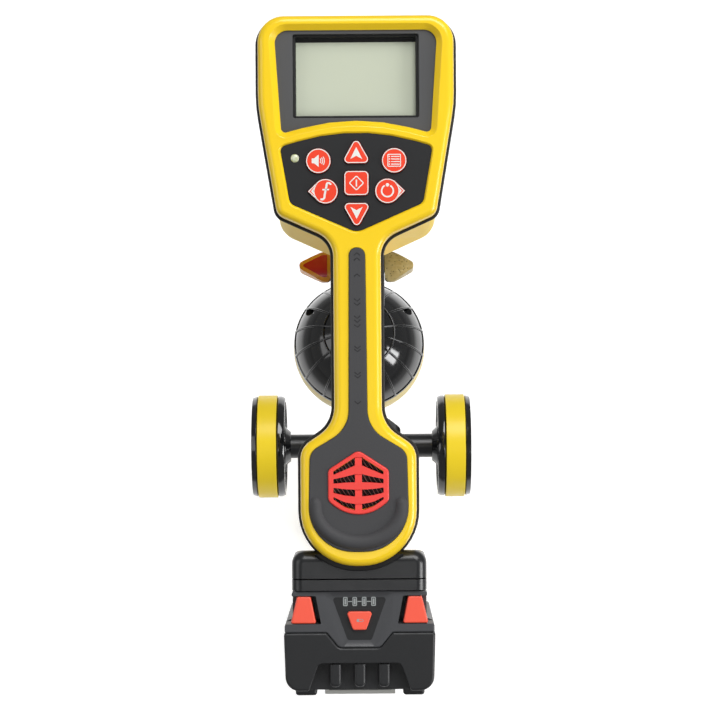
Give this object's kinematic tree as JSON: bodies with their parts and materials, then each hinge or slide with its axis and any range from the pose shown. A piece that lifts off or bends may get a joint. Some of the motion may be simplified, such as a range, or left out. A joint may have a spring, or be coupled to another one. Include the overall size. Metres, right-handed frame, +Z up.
{
  "type": "utility line locator",
  "caption": "Hand-held buried-line locator: display head, keypad, rubber-inlaid handle and slide-on battery on a folding mast with ball antennas and side disc antennas.",
  "frame": {"origin": "middle of the wear pad under the lower antenna ball, on the ground", "axes": "+Z up the mast, +Y forward (display head side), +X to the user's right"},
  "size_m": [0.1642, 0.3663, 0.7783],
  "materials": {
    "yellow_shell": "moulded, gloss",
    "seal_black": "satin",
    "panel_grey": "fine grain",
    "display_glass": "clear",
    "lcd_grey": "satin",
    "keypad_black": "fine grain",
    "key_red": "satin",
    "mat_rubber": "matt",
    "led_clear": "frosted",
    "board_green": "solder mask",
    "grip_rubber": "matt, fine grain",
    "grille_red": "satin",
    "mesh_dark": "woven",
    "speaker_black": "satin",
    "steel": "zinc plated",
    "dock_black": "gloss",
    "battery_dark": "fine grain",
    "battery_plate": "satin",
    "battery_red": "satin",
    "gauge_dark": "satin",
    "cell_wrap": "shrink film",
    "mast_black": "glass-fibre tube, satin",
    "node_black": "gloss, ribbed",
    "node_cream": "gloss",
    "coil_copper": "enamelled",
    "band_yellow": "gloss",
    "marker_red": "translucent",
    "marker_gold": "speckled",
    "foot_rubber": "matt"
  },
  "bodies": {
    "handset": {"top_shell": "yellow_shell", "bottom_shell": "yellow_shell", "shell_seal": "seal_black", "display_bezel": "panel_grey", "display_lens": "display_glass", "lcd_module": "lcd_grey", "keypad_panel": "keypad_black", "keypad_mat": "mat_rubber", "status_led": "led_clear", "main_board": "board_green", "grip_pad": "grip_rubber", "speaker_grille": "grille_red", "speaker_mesh": "mesh_dark", "speaker_driver": "speaker_black", "handset_screws": "steel", "battery_dock": "dock_black", "dock_rail": "dock_black", "dock_terminals": "steel", "upper_mast": "mast_black", "mast_collar": "mast_black", "marker_holder": "mast_black", "upper_node_cap": "node_black", "upper_node_base": "node_cream", "upper_node_coils": "coil_copper", "node_screws": "steel", "fold_knuckle": "mast_black"},
    "sound_key": {"key_sound": "key_red"},
    "up_key": {"key_up": "key_red"},
    "menu_key": {"key_menu": "key_red"},
    "left_key": {"key_left": "key_red"},
    "select_key": {"key_select": "key_red"},
    "right_key": {"key_right": "key_red"},
    "down_key": {"key_down": "key_red"},
    "battery_pack": {"battery_upper_case": "battery_dark", "battery_lower_case": "battery_dark", "battery_base_plate": "battery_plate", "gauge_panel": "gauge_dark", "battery_cells": "cell_wrap"},
    "left_release": {"battery_release_left": "battery_red"},
    "right_release": {"battery_release_right": "battery_red"},
    "gauge_push": {"gauge_button": "battery_red"},
    "left_marker": {"marker_left": "marker_red"},
    "right_marker": {"marker_right": "marker_gold"},
    "lower_section": {"hinge_pin": "steel", "fold_fork": "mast_black", "lower_mast": "mast_black", "tee_housing": "mast_black", "antenna_axles": "mast_black", "disc_inner_left": "node_black", "disc_inner_right": "node_black", "disc_outer_left": "node_black", "disc_outer_right": "node_black", "disc_band_left": "band_yellow", "disc_band_right": "band_yellow", "gradient_coils": "coil_copper", "lower_node_cap": "node_black", "lower_node_base": "node_cream", "lower_node_coils": "coil_copper", "foot_pad": "foot_rubber"},
    "fold_button": {"fold_release": "mast_black"}
  },
  "joints": [
    {"name": "sound_key_press", "type": "slide", "parent": "handset", "child": "sound_key", "axis": [0, 0.2588, -0.9659], "range_m": [0, 0.001], "stiffness_N_per_m": 300, "springref_m": -0.001},
    {"name": "up_key_press", "type": "slide", "parent": "handset", "child": "up_key", "axis": [0, 0.2588, -0.9659], "range_m": [0, 0.001], "stiffness_N_per_m": 300, "springref_m": -0.001},
    {"name": "menu_key_press", "type": "slide", "parent": "handset", "child": "menu_key", "axis": [0, 0.2588, -0.9659], "range_m": [0, 0.001], "stiffness_N_per_m": 300, "springref_m": -0.001},
    {"name": "left_key_press", "type": "slide", "parent": "handset", "child": "left_key", "axis": [0, 0.2588, -0.9659], "range_m": [0, 0.001], "stiffness_N_per_m": 300, "springref_m": -0.001},
    {"name": "select_key_press", "type": "slide", "parent": "handset", "child": "select_key", "axis": [0, 0.2588, -0.9659], "range_m": [0, 0.001], "stiffness_N_per_m": 300, "springref_m": -0.001},
    {"name": "right_key_press", "type": "slide", "parent": "handset", "child": "right_key", "axis": [0, 0.2588, -0.9659], "range_m": [0, 0.001], "stiffness_N_per_m": 300, "springref_m": -0.001},
    {"name": "down_key_press", "type": "slide", "parent": "handset", "child": "down_key", "axis": [0, 0.2588, -0.9659], "range_m": [0, 0.001], "stiffness_N_per_m": 300, "springref_m": -0.001},
    {"name": "battery_slide", "type": "slide", "parent": "handset", "child": "battery_pack", "axis": [0, -0.2588, 0.9659], "range_m": [0, 0.12]},
    {"name": "left_release_press", "type": "slide", "parent": "battery_pack", "child": "left_release", "axis": [1, 0, 0], "range_m": [0, 0.0025], "stiffness_N_per_m": 300, "springref_m": -0.002},
    {"name": "right_release_press", "type": "slide", "parent": "battery_pack", "child": "right_release", "axis": [-1, 0, 0], "range_m": [0, 0.0025], "stiffness_N_per_m": 300, "springref_m": -0.002},
    {"name": "gauge_press", "type": "slide", "parent": "battery_pack", "child": "gauge_push", "axis": [0, 0.2588, -0.9659], "range_m": [0, 0.0008], "stiffness_N_per_m": 300, "springref_m": -0.001},
    {"name": "left_marker_pull", "type": "slide", "parent": "handset", "child": "left_marker", "axis": [-1, 0, 0], "range_m": [0, 0.012]},
    {"name": "right_marker_pull", "type": "slide", "parent": "handset", "child": "right_marker", "axis": [1, 0, 0], "range_m": [0, 0.012]},
    {"name": "mast_fold", "type": "hinge", "parent": "handset", "child": "lower_section", "pos_m": [0, 0.026, 0.395], "axis": [1, 0, 0], "range_deg": [0, 150]},
    {"name": "fold_button_press", "type": "slide", "parent": "handset", "child": "fold_button", "axis": [0, 1, 0], "range_m": [0, 0.003], "stiffness_N_per_m": 300, "springref_m": -0.002}
  ]
}
